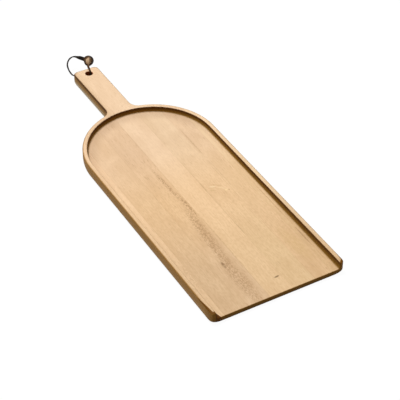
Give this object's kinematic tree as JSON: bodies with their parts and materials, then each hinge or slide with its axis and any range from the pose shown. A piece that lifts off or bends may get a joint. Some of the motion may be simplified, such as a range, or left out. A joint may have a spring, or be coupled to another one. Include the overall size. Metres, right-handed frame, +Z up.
{
  "type": "serving board",
  "caption": "Long wooden serving board with an arched end, a handle, a raised rim on three sides, an open front edge and a leather hanging thong.",
  "frame": {"origin": "middle of the board's box seen from above, on the plane that the board rests on", "axes": "+Y along the board from the open front edge towards the handle, +Z up, +X to the right seen from the front"},
  "size_m": [0.201, 0.5983, 0.0352],
  "materials": {
    "wood": "light close-grained hardwood, edge-glued, sanded and oiled, satin",
    "thong_leather": "flat dark brown leather with a tan flesh side"
  },
  "bodies": {
    "root": {"left_edge_stave": "wood", "left_outer_stave": "wood", "left_inner_stave": "wood", "handle_stave": "wood", "right_inner_stave": "wood", "right_outer_stave": "wood", "right_edge_stave": "wood", "leather_thong": "thong_leather", "thong_knot": "thong_leather"}
  },
  "joints": []
}
